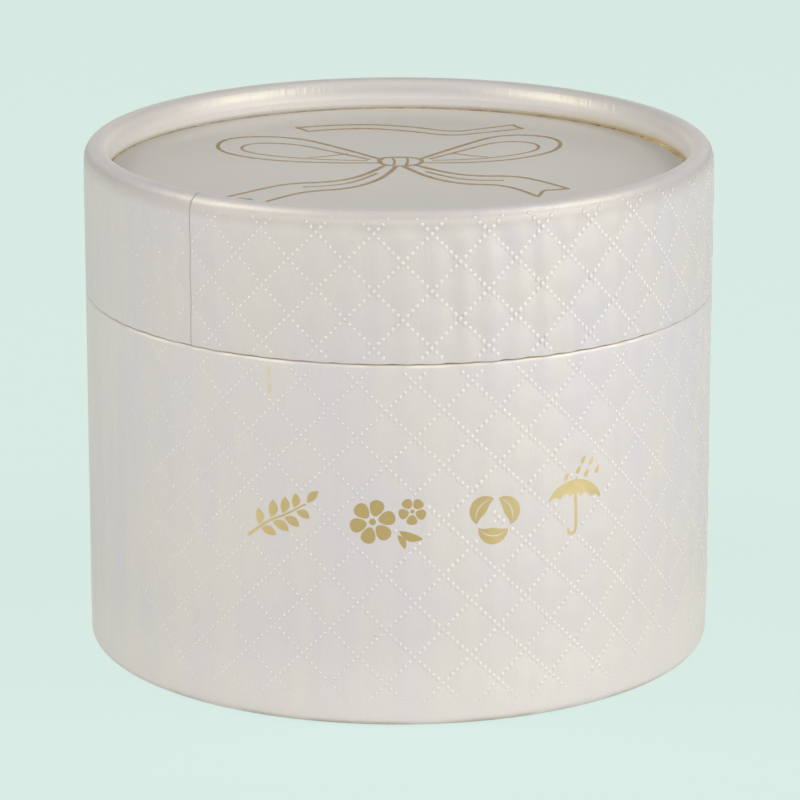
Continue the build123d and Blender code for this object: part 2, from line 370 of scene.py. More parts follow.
# %% Draw the profile
def rounded_line(corners, rounds, step, arc_steps):
    """Straight runs joined by arcs. At each corner the arc starts and ends r tan(turn / 2) away from it."""
    corners = np.array(corners, float)
    points = [corners[:1]]
    for before, corner, after, radius in zip(corners[:-2], corners[1:-1], corners[2:], rounds):
        into = (corner - before) / np.hypot(*(corner - before))
        out = (after - corner) / np.hypot(*(after - corner))
        turn = math.atan2(into[0] * out[1] - into[1] * out[0], into @ out)
        back = radius * math.tan(abs(turn) / 2)
        side = np.array([-into[1], into[0]]) * np.sign(turn)
        centre = corner - back * into + radius * side
        share = np.linspace(0, 1, arc_steps)[:, None] * turn
        spoke = -radius * side
        arc = centre + np.cos(share) * spoke + np.sin(share) * np.array([-spoke[1], spoke[0]])
        points.append(fill_run(points[-1][-1], arc[0], step))
        points.append(arc)
    points.append(fill_run(points[-1][-1], corners[-1], step))
    points.append(corners[-1:])
    return np.vstack(points)


def fill_run(start, end, step):
    """Evenly spaced points between two others, neither end included."""
    count = max(int(np.hypot(*(end - start)) / step), 1)
    return start + (end - start) * (np.arange(1, count) / count)[:, None]


def outward_sides(line):
    """The unit vector square to the line at each point, to the right of its run."""
    run = np.gradient(line, axis=0)
    return np.stack([run[:, 1], -run[:, 0]], axis=1) / np.hypot(run[:, 0], run[:, 1])[:, None]


sample = rounded_line([(0, 0), (10, 0), (10, 10)], [2.0], 1.0, 9)
print(f"a bend of two 10 mm runs is {np.hypot(*np.diff(sample, axis=0).T).sum():.2f} mm long")

# %% [markdown]
# ## Pressing and lapping the wall
# Three things move the sheet off a plain cylinder: the puffed diamonds, soft upright waves where the
# paper isn't quite taut, and the lap where one end of the sheet is glued over the other.
# Each is a height in millimetres over the unrolled wall, and near the rim and the foot, where the roller
# doesn't reach, all but the lap fades out. They could be modifiers one after another, but heights simply
# add up, and can be asked for at one place alone.

# %% Press, lap and fade the wall
turns = np.linspace(-math.pi, math.pi, 720, endpoint=False)
lid_seam = -34.1
base_seam = 140.0
lap_length, lap_slope, lap_height = 9.0, 5.0, 0.09


def columns_round(seam):
    """The turns at which the profile stands, with two more close beside the seam's edge."""
    edge = seam / wall_radius
    return np.sort(np.append(turns, [edge - 0.0006, edge + 0.0006]))


def lap(around, seam):
    """The overlapping end of the sheet: a step up at the seam, which slopes away to nothing."""
    beyond = around - seam
    return lap_height * (beyond > 0) * np.clip((lap_length - beyond) / lap_slope, 0, 1)


def fade(up, low, high):
    """0 to 1 between two heights, by the smooth cubic 3t^2 - 2t^3."""
    t = np.clip((up - low) / (high - low), 0, 1)
    return t * t * (3 - 2 * t)


def lid_shape(around, up):
    """How far the lid's wall stands out of its valleys: puffs and waves, deeper right of the front."""
    deep = np.exp(-(((around / wall_radius - 0.33) / 0.42) ** 2))
    press = puff_height * puff(around, up, lid_press) * pressure(around) * (1 + 0.6 * deep)
    press += pleats(around, up) * (1 + 1.4 * deep)
    sunk = 0.08 * deep
    return (press - sunk) * (1 - fade(up, crest_height - 4.2, crest_height - 1.8)) + lap(around, lid_seam)


def base_shape(around, up):
    """How far the base's wall stands out of its valleys: puffs, weak left of the front, and waves."""
    even = np.maximum(fade(around, -14.0, 18.0), fade(-around, 85.0, 110.0))
    firm = pressure(around) * (0.35 + 0.65 * even) * (1 - 0.6 * stamped(around, up, 0.4))
    press = puff_height * puff(around, up, base_press) * firm
    return (press + pleats(around, up)) * fade(up, 2.2, 6.5) + lap(around, base_seam)


highest = lid_shape(turns[:, None] * wall_radius, np.linspace(parting_height, crest_height, 200)).max()
print(f"the lid's paper stands up to {highest:.2f} mm out of its valleys")

# %% [markdown]
# ## The two sheets
# Each sheet is a closed skin with a thickness, so that its folded edge shows at the parting line.
# The rolled end's inner leg leans outwards near the rim, as board does when it is rolled over a former.
# A Solidify modifier could thicken the face, but only the face is quilted: the hidden side is smooth, and
# a second profile, with far fewer points, gives it.

# %% Carry the profile round the axis
leg = wall_radius - 3.6
sheet_back = 0.25
hidden_radius = wall_radius - 0.29
wall_edge = 0.6
row_step, arc_rows = 0.79, 9


def wrap_piece(name, edge, crest, leg_end, bore, rounds, flare, seam, shape):
    """The profile at each turn, each point moved out along its own side by the shape's height there.

    The skin runs out along its face and back along its hidden side, 0.25 mm inside. The inner leg flares
    towards the rim: out by the first number of the flare, over the height of the second.
    """
    way = 1 if crest > edge else -1
    flare_foot = crest - way * flare[1]
    corners = [(bore, edge), (valley_radius, edge), (valley_radius, crest), (leg + flare[0], crest)]
    face = rounded_line(corners + [(leg, flare_foot), (leg, leg_end)], rounds, row_step, arc_rows)
    hidden = [
        (bore, edge + way * sheet_back),
        (hidden_radius, edge + way * sheet_back),
        (hidden_radius, crest - way * sheet_back),
        (leg + flare[0] + sheet_back, crest - way * sheet_back),
        (leg + sheet_back, flare_foot),
        (leg + sheet_back, leg_end),
    ]
    inner = [max(rounds[0] - 0.2, 0.02), rounds[1] - 0.2, rounds[2] - sheet_back, rounds[3]]
    behind = rounded_line(hidden, inner, 9.0, 5)[::-1]
    sides = outward_sides(face) * way
    on_wall = np.clip((face[:, :1] - (valley_radius - wall_edge)) / wall_edge, 0, 1)
    columns = columns_round(seam)
    around = columns * wall_radius
    height = shape(around[None, :], face[:, 1:2]) * on_wall
    radius = face[:, :1] + sides[:, :1] * height
    up = face[:, 1:2] + sides[:, 1:] * height
    radius = np.vstack([radius, np.repeat(behind[:, :1], len(columns), axis=1)])
    up = np.vstack([up, np.repeat(behind[:, 1:], len(columns), axis=1)])
    points = np.stack([radius * np.sin(columns), -radius * np.cos(columns), up], axis=-1)
    rows = len(points)
    return make_piece(name, points.reshape(-1, 3), grid_faces(rows, len(columns), True, True))


lid_rounds = [0.20, 2.25, 1.1, 10.0]
lid_run = (parting_height, crest_height, panel_height, lid_bore)
base_run = (parting_height, 0.0, bottom_height, base_bore)
lid_paper = wrap_piece("lid_paper", *lid_run, lid_rounds, (0.20, 1.9), lid_seam, lid_shape)
base_paper = wrap_piece("base_paper", *base_run, [0.45, 1.5, 0.9, 6.0], (0.15, 1.3), base_seam, base_shape)
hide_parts("lid_wrap")
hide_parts("base_wrap")
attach(lid_paper, "lid")
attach(base_paper, "base")

# %% [markdown]
# ## The raised beads
# Close to, each line is a row of tiny domes, about a millimetre apart, with one shared where lines cross.
# They could be a bump map, but that can't catch the light as points at every angle, so they are real.
# First come their places: both slanted coordinates count the lines, so a bead sits where one is whole.

# %% Find the beads' places
dice = np.random.default_rng(7)
smallest_bead = 0.15


def bead_places(press, low, high, shape_fade, missing):
    """Places where one slanted coordinate is whole and the other a whole number of sixths.

    Where the roller hardly touched, some beads are missing: one in so many, drawn from seeded dice.
    """
    whole = np.arange(-40, 60)
    sixths = np.arange(-40 * beads_a_side, 60 * beads_a_side) / beads_a_side
    p, q = [axis.ravel() for axis in np.meshgrid(whole, sixths)]
    crossing = q == np.round(q)
    first = np.concatenate([p, q[~crossing]])
    second = np.concatenate([q, p[~crossing]])
    around = (first + second) / 2 * pitch_round + press["round_start"]
    up = (first - second) / 2 * press["rise"] + press["up_start"]
    half = math.pi * wall_radius
    keep = (around >= -half - 1e-6) & (around < half - 1e-6) & (up > low) & (up < high)
    around, up = around[keep], up[keep]
    size = pressure(around) * shape_fade(up)
    missed = dice.random(len(size)) < missing(around)
    keep = (size > smallest_bead) & ~missed
    return around[keep], up[keep], size[keep]


bead_step = np.hypot(pitch_round, base_press["rise"]) / 2 / beads_a_side
print(f"a bead every {bead_step:.2f} mm along each of the base's lines")

# %% [markdown]
# ## The beads' shape
# On the real paper each bead is a bump from behind with steep sides and a round top. They are upright
# ovals, from a quarter to seven eighths of a millimetre wide: widest a little right of the front, where
# the roller pressed hardest, and fine on the left. One dome could be copied to every place as an
# instance, but these differ in size and are one piece, so their points are worked out together. There
# are thousands, so each has only a few dozen faces: two bands of quads, a cap and a floor.

# %% Raise a dome on each place
sides = 8
spread = np.array([1.0, 0.76, 0.42])
rise = np.array([-0.12, 0.50, 0.90])
upright = 1.25
least_width, pressed_width, right_width, left_loss = 0.08, 0.24, 0.12, 0.28
least_height, pressed_height = 0.03, 0.14


def bead_piece(name, around, up, size, under):
    """Oval domes: rings at three shares of the half width and rising shares of the height, and a top.

    The half width and the height grow with the size, which is how firmly the roller pressed.
    """
    angle = np.linspace(0, 2 * math.pi, sides, endpoint=False)
    width = least_width + pressed_width * size
    width = width + right_width * fade(around, -14.0, 18.0) * (1 - fade(around, 38.0, 62.0))
    width = width * (1 - left_loss * fade(-around, 2.0, 34.0))
    height = least_height + pressed_height * size
    ring_a = around[:, None, None] + width[:, None, None] * spread[:, None] * np.cos(angle)
    ring_u = up[:, None, None] + upright * width[:, None, None] * spread[:, None] * np.sin(angle)
    ring_r = under[:, None, None] + height[:, None, None] * rise[:, None] + 0 * ring_a
    a = np.concatenate([ring_a.reshape(len(around), -1), around[:, None]], axis=1)
    u = np.concatenate([ring_u.reshape(len(around), -1), up[:, None]], axis=1)
    r = np.concatenate([ring_r.reshape(len(around), -1), (under + height)[:, None]], axis=1)
    turn = a / wall_radius
    points = np.stack([r * np.sin(turn), -r * np.cos(turn), u], axis=-1)
    base = np.arange(sides)
    step = np.roll(base, -1)
    quads = np.array(grid_faces(3, sides, False, True))
    top = np.stack([2 * sides + base, 2 * sides + step, np.full(sides, 3 * sides)], axis=1)
    count = 3 * sides + 1
    shift = np.arange(len(around)) * count
    faces = (quads[None] + shift[:, None, None]).reshape(-1, 4).tolist()
    faces += (top[None] + shift[:, None, None]).reshape(-1, 3).tolist()
    faces += (base[::-1][None] + shift[:, None]).tolist()
    return make_piece(name, points.reshape(-1, 3), faces)


print(f"a bead has {2 * sides} quads, {sides} triangles and a floor of {sides} corners")

# %% [markdown]
# ## Setting the beads
# The beads stand on the quilted wall. A Shrinkwrap modifier could drop them on it, but the wall's formula
# gives the height under each of them at once. On the lid the highest ones lean in with the rounded rim.
# On the base those under the foil are left out.

# %% Set the beads on the lid and the base
def lid_fade(up):
    """1 on the wall, falling by seven tenths over the last millimetres under the crest."""
    return 1 - 0.7 * fade(up, crest_height - 2.6, crest_height - 0.9)


def base_fade(up):
    """0 at the foot, rising to 0.85 on the wall."""
    return 0.85 * fade(up, 2.0, 7.5)


def lid_missing(around):
    """Six in ten on the flank left of the seam, and none elsewhere."""
    flank = (around < lid_seam) & (around > -1.75 * wall_radius)
    return np.where(flank, 0.6, 0.0)


def base_missing(around):
    """A share that grows from nothing at the front to a quarter at the left, and falls off again behind."""
    return 0.25 * fade(-around, 30.0, 60.0) * (1 - fade(-around, 80.0, 100.0))


around, up, size = bead_places(lid_press, parting_height + 0.6, crest_height - 1.05, lid_fade, lid_missing)
rim_round = lid_rounds[1]
over = np.clip((up - crest_height + rim_round) / rim_round, 0, 1)
under = valley_radius + lid_shape(around, up) - rim_round * (1 - np.sqrt(1 - over**2))
lid_beads = bead_piece("lid_beads", around, up, size, under)
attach(lid_beads, "lid")

around, up, size = bead_places(base_press, 1.9, parting_height - 0.85, base_fade, base_missing)
clear_of_foil = 0.55
spots = np.stack([around, up], axis=1)
pressed_flat = np.zeros(len(spots), bool)
for loop in foil_loops:
    gap = np.hypot(*(spots[:, None] - loop[None]).transpose(2, 0, 1)).min(axis=1)
    pressed_flat |= inside(spots, loop) | (gap < clear_of_foil)
around, up, size = around[~pressed_flat], up[~pressed_flat], size[~pressed_flat]
under = valley_radius + base_shape(around, up)
front = np.abs(around) < math.pi * wall_radius / 2
base_beads_front, base_beads_back = [
    bead_piece(name, around[part], up[part], size[part], under[part])
    for name, part in (("base_beads_front", front), ("base_beads_back", ~front))
]
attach(base_beads_front, "base")
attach(base_beads_back, "base")
print(f"{len(around)} beads on the base, {int(pressed_flat.sum())} flattened by the foil")

# %% [markdown]
# ## Stamping the foil
# Hot foil is a film far thinner than the paper. It could be a mask in the paper's own material, but a
# printed edge is cleaner than a mask, so it is a plate a few hundredths of a millimetre thick. The outline
# is filled with triangles on the flat, with points inside as well, and then bent round the quilted wall.

# %% Fill outlines and bend them round
foil_spacing, foil_lift, foil_drop = 0.45, 0.016, 0.03


def plate(loops, spacing, lift, drop, bend):
    """Fills each outline with triangles, then gives it a top, a bottom and an edge between them.

    An edge that only one cell uses lies on the border, and carries a wall from the top to the bottom.
    """
    points, faces, total = [], [], 0
    for loop in loops:
        low, high = loop.min(axis=0), loop.max(axis=0)
        across, upward = [np.arange(a, b, spacing) for a, b in zip(low, high)]
        seeds = np.stack([axis.ravel() for axis in np.meshgrid(across, upward)], axis=1)
        seeds = seeds[inside(seeds, loop)]
        if len(seeds):
            gap = np.hypot(*(seeds[:, None] - loop[None]).transpose(2, 0, 1)).min(axis=1)
            seeds = seeds[gap > 0.3 * spacing]
        flat = [Vector(p) for p in np.vstack([loop, seeds]).tolist()]
        rim = [(k, (k + 1) % len(loop)) for k in range(len(loop))]
        found, _, cells = delaunay_2d_cdt(flat, rim, [], 1, 1e-6)[:3]
        found = np.array([tuple(v) for v in found])
        cells = [list(cell) for cell in cells]
        count = len(found)
        uses = {}
        for cell in cells:
            for a, b in zip(cell, cell[1:] + cell[:1]):
                uses[(a, b)] = uses.get((a, b), 0) + 1
        border = [(a, b) for a, b in uses if (b, a) not in uses]
        points += [bend(found, lift), bend(found, -drop)]
        faces += [[v + total for v in cell] for cell in cells]
        faces += [[v + total + count for v in cell[::-1]] for cell in cells]
        faces += [[b + total, a + total, a + total + count, b + total + count] for a, b in border]
        total += 2 * count
    return np.vstack(points), faces


def on_wall(flat, lift):
    """A point on the sheet goes to its turn round the wall, as far out as the paper's face plus a lift."""
    around, up = flat[:, 0], flat[:, 1]
    radius = valley_radius + base_shape(around, up) + lift
    turn = around / wall_radius
    return np.stack([radius * np.sin(turn), -radius * np.cos(turn), up], axis=-1)


foil_pieces = []
for mark, loops in foil_marks.items():
    points, faces = plate(loops, foil_spacing, foil_lift, foil_drop, on_wall)
    piece = make_piece(mark, points, faces, smooth=False)
    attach(piece, "base")
    foil_pieces.append(piece)

# %% [markdown]
# ## The drawing on the lid
# The panel carries a large drawing in thin gold lines: a tied ribbon with two loops, a knot and two tails.
# Curve objects with a bevel would do, but flat strips keep the ink thin. Each is half to three quarters
# of a millimetre wide and tapers a little, as a pen line does. A few control points shape it, and a
# B-spline smooths it.

# %% Draw the ribbon's lines
bold, firm, fine, thin = [1.05 * width for width in (0.72, 0.6, 0.54, 0.46)]
line_taper = 0.25
ribbon_lines = [
    (bold, [(-2.6, 7.2), (-9.0, 15.5), (-17.5, 24.5), (-28.5, 24.0), (-30.0, 14.0), (-22.0, 7.0),
            (-10.0, 4.6), (-2.8, 5.0)]),
    (fine, [(-4.6, 7.4), (-10.5, 13.0), (-17.0, 19.2), (-24.6, 19.6), (-26.0, 14.0), (-20.0, 9.6),
            (-11.0, 7.0), (-5.0, 6.6)]),
    (thin, [(-8.2, 11.6), (-11.4, 9.6), (-14.6, 8.8)]),
    (bold, [(3.2, 7.4), (9.4, 16.6), (17.0, 26.5), (26.2, 24.0), (26.4, 14.6), (19.4, 7.6),
            (10.0, 4.6), (3.4, 5.2)]),
    (fine, [(5.0, 7.8), (10.6, 14.2), (16.2, 21.0), (22.4, 20.0), (23.0, 14.4), (17.6, 9.8),
            (11.0, 7.2), (5.4, 6.8)]),
    (thin, [(8.4, 12.2), (11.6, 10.0), (14.4, 9.2)]),
    (bold, [(-2.8, 4.6), (-3.6, 8.2), (-0.6, 9.2), (2.6, 8.8), (4.0, 7.0), (3.2, 3.6), (0.4, 2.6),
            (-2.0, 3.2), (-2.8, 4.6)]),
    (thin, [(-0.8, 3.6), (-0.4, 6.2), (-1.0, 8.4)]),
    (thin, [(1.2, 3.4), (1.6, 6.0), (1.4, 8.4)]),
    (bold, [(-2.2, 3.2), (-5.0, -3.6), (-10.0, -8.6), (-17.0, -9.4), (-21.6, -13.4), (-27.4, -19.6)]),
    (bold, [(-0.4, 2.6), (-2.0, -5.6), (-7.4, -13.2), (-14.0, -14.8), (-18.0, -18.6), (-22.0, -24.0)]),
    (firm, [(-27.4, -19.6), (-25.0, -19.9), (-22.9, -20.0), (-22.5, -21.8), (-22.0, -24.0)]),
    (thin, [(-3.4, -2.4), (-6.2, -8.0), (-10.6, -11.4), (-15.0, -12.0)]),
    (bold, [(2.8, 3.4), (6.8, -1.6), (12.4, -4.6), (18.2, -4.2), (22.6, -7.8), (26.6, -13.2)]),
    (bold, [(0.8, 2.6), (4.0, -4.8), (10.0, -10.2), (15.8, -10.4), (19.4, -14.2), (21.6, -18.6)]),
    (firm, [(26.6, -13.2), (24.4, -14.0), (22.6, -14.2), (22.2, -16.4), (21.6, -18.6)]),
    (thin, [(4.4, -1.2), (8.0, -5.6), (12.6, -7.6), (16.6, -7.4)]),
    (fine, [(-17.0, 31.0), (-8.0, 34.2), (2.0, 32.0), (9.0, 27.6), (14.0, 30.4), (19.0, 33.2)]),
    (fine, [(-15.0, 28.2), (-7.6, 31.2), (1.4, 28.8), (8.4, 24.6), (14.6, 27.6), (20.6, 30.4)]),
    (thin, [(-17.0, 31.0), (-15.6, 30.0), (-15.0, 28.2)]),
    (thin, [(19.0, 33.2), (19.4, 31.6), (20.6, 30.4)]),
]
drawing = [strip(curve(control, 9), width, line_taper) for width, control in ribbon_lines]
print(len(drawing), "pen lines drawn")

# %% [markdown]
# ## The ink on the panel
# Printed ink lies flat and has next to no thickness. Painted in the panel's material it would need a
# picture, so the strips are laid on the panel as they are, two hundredths of a millimetre high. Where they
# cross, each lies a thousandth of a millimetre over the last, as two faces in one place would flicker.

# %% Lay the lines on the panel
ink_height, ink_step = 0.02, 0.001


def on_panel(flat, lift):
    """A point of the drawing goes flat on the lid's panel."""
    return np.column_stack([flat, np.full(len(flat), panel_height + lift)])


points, faces, total = [], [], 0
for loop in drawing:
    half = len(loop) // 2
    pairs = np.stack([loop[:half], loop[half:][::-1]], axis=1).reshape(-1, 2)
    count = len(pairs)
    corner = np.arange(half - 1) * 2
    top = np.stack([corner, corner + 1, corner + 3, corner + 2], axis=1)
    points += [on_panel(pairs, ink_height + ink_step * len(points)), on_panel(pairs, -ink_height)]
    faces += (top + total).tolist()
    faces += (top[:, ::-1] + total + count).tolist()
    rim = np.concatenate([corner, [count - 2], (corner + 3)[::-1], [1]])
    after = np.roll(rim, -1)
    faces += (np.stack([after, rim, rim + count, after + count], axis=1) + total).tolist()
    total += 2 * count
lid_drawing = make_piece("lid_drawing", np.vstack(points), faces, smooth=False)
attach(lid_drawing, "lid")

# %% [markdown]
# ## The glue line
# Where the rim's inner leg meets the panel, glue has crept out and yellowed.
# A stain in the paper would look flat, so it is an uneven fillet: a strip between the leg and the panel
# whose two widths wander with the angle. It is a bare thread nearly all round, and swells to most of a
# millimetre at the right. Its back and its floor are sunk a little into the leg and the panel.

# %% Run the glue round the panel
swell_turn, swell_reach = 1.72, 0.62
least_glue = 0.02
hollow = 1.3
behind_leg, under_panel = 0.06, 0.04


def glue_widths(turn):
    """Widths on the panel and up the leg, for each turn.

    Each is a thin base, a swell exp(-(off / reach)^2) at the right, and sines that grow with the swell.
    """
    waves = 0.5 * np.sin(7 * turn + 1) + 0.3 * np.sin(17 * turn + 2.2) + 0.2 * np.sin(41 * turn)
    fine = 0.5 * np.sin(97 * turn + 0.7) + 0.5 * np.sin(153 * turn)
    off = (turn - swell_turn + math.pi) % (2 * math.pi) - math.pi
    swell = np.exp(-((off / swell_reach) ** 2))
    out = 0.05 + 0.45 * swell + (0.05 + 0.30 * swell) * waves + (0.05 + 0.06 * swell) * fine
    high = 0.03 + 0.22 * swell + (0.03 + 0.12 * swell) * np.roll(waves, 37) + 0.03 * fine
    return np.clip(out, least_glue, None), np.clip(high, least_glue, None)


turn = np.linspace(-math.pi, math.pi, 1200, endpoint=False)
out, high = glue_widths(turn)
share = np.linspace(0, 1, 6)[:, None]
radius = leg - out * (1 - share) ** hollow
up = panel_height + high * share**hollow
radius = np.vstack([radius, np.full((2, len(turn)), leg + behind_leg)])
up = np.vstack([up, up[-1:] - 0.01, np.full((1, len(turn)), panel_height - under_panel)])
up[0] = panel_height - under_panel / 2
print(f"the glue is {out.min():.2f} to {out.max():.2f} mm wide on the panel")
points = np.stack([radius * np.sin(turn), -radius * np.cos(turn), up], axis=-1)
glue = make_piece("glue_line", points.reshape(-1, 3), grid_faces(len(points), len(turn), True, True))
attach(glue, "lid")

# %% [markdown]
# ## The watch cushion
# Inside, out of sight until the lid comes off, the watch is strapped round a stuffed cushion:
# a cloth sleeve, crowned in the middle, with an end panel sewn into each end under a corded seam.
# A cloth simulation would stuff it too, but this shape is simple enough to work out: its section is
# a rounded oblong, and a profile along its length swells, pinches at the seam and domes over the end.

# %% Draw the cushion's profile
low, high = [np.array(corner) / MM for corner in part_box("watch_pillow")]
middle, half = (low + high) / 2, (high - low) / 2
seam_place = 0.905


def cushion_profile():
    """From one end's centre to the other: a place along the length and a share of the full section.

    The end is a cubic dome, the cord most of a circle, and the body swells by 1 - (1 - t)^2.6.
    """
    reach = np.linspace(0, 1, 9)
    end = np.stack([-1.0 + 0.055 * reach**3, 0.80 * reach], axis=1)[:-1]
    cord_turn = np.linspace(-2.4, 1.3, 9)
    cord = np.stack([-0.935 + 0.022 * np.sin(cord_turn), 0.835 + 0.035 * np.cos(cord_turn)], axis=1)
    body = np.linspace(0, 1, 26)
    swell = 0.838 + 0.162 * (1 - (1 - body) ** 2.6)
    side = np.stack([-seam_place + seam_place * body, swell], axis=1)
    left = np.vstack([end, cord, side])
    return np.vstack([left, (left * [-1, 1])[-2::-1]])


profile = cushion_profile()
print(f"the cushion's profile has {len(profile)} points, over {2 * half[0]:.1f} mm")

# %% [markdown]
# ## Stuffing the cushion
# The section is a superellipse, |y|^n + |z|^n = 1, which is an oblong with generous corners. The cloth is
# gathered into each seam, so small folds run away from it and die out. A box with a Subdivision modifier
# comes close too, but here every ring has the same number of points, so the folds can run along them.

# %% Stuff the cushion
angle = np.linspace(0, 2 * math.pi, 144, endpoint=False)
power = 2 / 3.2
section_y = np.sign(np.cos(angle)) * np.abs(np.cos(angle)) ** power
section_z = np.sign(np.sin(angle)) * np.abs(np.sin(angle)) ** power
from_seam = np.clip(seam_place - np.abs(profile[:, 0]), 0, 1)[:, None]
gather = np.exp(-from_seam / 0.12) * (np.abs(profile[:, :1]) < 0.9)
fold = 0.012 * gather * (np.sin(23 * angle + 0.8) + 0.6 * np.sin(37 * angle + 2.0))
scale = profile[:, 1:] * (1 + fold)
x = middle[0] + half[0] * profile[:, :1] + 0 * scale
y = middle[1] + (half[1] - 0.4) * scale * section_y
z = middle[2] + (half[2] - 0.1) * scale * section_z
points = np.stack([x, y, z], axis=-1)[1:-1]
rows = len(points)
ends = np.array([[middle[0] - half[0], middle[1], middle[2]], [middle[0] + half[0], middle[1], middle[2]]])
faces = grid_faces(rows, len(angle), False, True)
ring = np.arange(len(angle))
after = np.roll(ring, -1)
last = (rows - 1) * len(angle)
first_pole, last_pole = rows * len(angle), rows * len(angle) + 1
faces += np.stack([after, ring, np.full(len(angle), first_pole)], axis=1).tolist()
faces += np.stack([last + ring, last + after, np.full(len(angle), last_pole)], axis=1).tolist()
cushion = make_piece("cushion", np.vstack([points.reshape(-1, 3), ends]), faces)
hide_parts("watch_pillow")
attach(cushion, "pillow")

# %% [markdown]
# ## The pull ribbon
# A loop of satin ribbon lifts the insert out. Both ends are glued under the platform, and the loop comes
# up through a slot and stands open. It could be a bevelled curve, but a ribbon is flat and dips across its
# width where it bends, so it is a strip carried along a smooth line, its edges a little higher.

# %% Loop the ribbon
slot_y = -37.0
under_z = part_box("tray_board")[0][2] / MM
face_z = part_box("tray_face")[1][2] / MM
ribbon_half, ribbon_thick, ribbon_dip, edge_count = 4.0, 0.32, 0.12, 9
tail_left = [(-5.2, under_z - 0.22), (-0.5, under_z - 0.22), (-0.32, under_z + 1.0), (-0.32, face_z + 0.8)]
open_loop = [(-2.3, 3.6), (-3.0, 7.4), (0.2, 10.2), (3.1, 6.8), (2.0, 3.2)]
control = tail_left + [(y, face_z + z) for y, z in open_loop] + [(-y, z) for y, z in tail_left[::-1]]
path = curve([(slot_y + y, z) for y, z in control], 7)
loop = strip(path, ribbon_thick)
count = len(path)
edges = np.linspace(-ribbon_half, ribbon_half, edge_count)
lift = ribbon_dip * np.sin(np.linspace(0, math.pi, count))[:, None] * (edges / ribbon_half) ** 2
top, bottom = [side[:, None].repeat(edge_count, 1) for side in (loop[:count], loop[count:][::-1])]
section = np.concatenate([top, bottom], axis=1)
across = np.concatenate([edges, edges[::-1]])
points = np.stack([np.broadcast_to(across, section.shape[:2]), section[..., 0], section[..., 1]], axis=-1)
points[..., 2] += np.concatenate([lift, lift[:, ::-1]], axis=1)
ring = 2 * edge_count
faces = grid_faces(count, ring, False, True)
faces += [list(range(ring))[::-1], [(count - 1) * ring + k for k in range(ring)]]
print(f"the ribbon is {np.hypot(*np.diff(path, axis=0).T).sum():.1f} mm long")
pull_ribbon = make_piece("pull_ribbon", points.reshape(-1, 3), faces)
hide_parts("tray_ribbon")
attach(pull_ribbon, "tray")

# %% [markdown]
# ## Shader maths in plain expressions
# The finish of real paper, foil or cloth is a sum of small effects: fibres, blotches, a stain near an edge.
# In Blender that is a web of nodes, which can be joined by hand in the editor. Written as expressions they
# read like a recipe, so a small class wraps a node's output and turns + - * / into Math nodes.

# %% Wrap the shader's sockets
class Wire:
    """One output of a node. Arithmetic on it adds the Math nodes that work it out."""

    def __init__(self, finish, socket):
        self.finish = finish
        self.socket = socket

    def math(self, operation, *others):
        """One Math node on this and the others."""
        return self.finish.add("Math", {"operation": operation}, dict(enumerate((self,) + others)))

    def from_left(self, operation, other):
        """The same with a plain number first, as in 1 - x."""
        return self.finish.add("Math", {"operation": operation}, {0: other, 1: self})

    def __add__(self, other):
        return self.math("ADD", other)

    def __sub__(self, other):
        return self.math("SUBTRACT", other)

    def __rsub__(self, other):
        return self.from_left("SUBTRACT", other)

    def __mul__(self, other):
        return self.math("MULTIPLY", other)

    def __truediv__(self, other):
        return self.math("DIVIDE", other)

    def __rtruediv__(self, other):
        return self.from_left("DIVIDE", other)

    def __pow__(self, other):
        return self.math("POWER", other)

    __radd__ = __add__
    __rmul__ = __mul__


print("signs that add a Math node: + - * / **")

# %% [markdown]
# ## A recipe for each finish
# Every finish here is made of the same few steps: a place on the surface, noise at that place, a mask,
# a mix of two colours, a bump. Each step is a method that adds its node, and the last one ends the recipe
# in Blender's Principled shader, which suits paper, foil and cloth alike. The nodes could be added one
# by one in each finish, but then every recipe would be far longer.

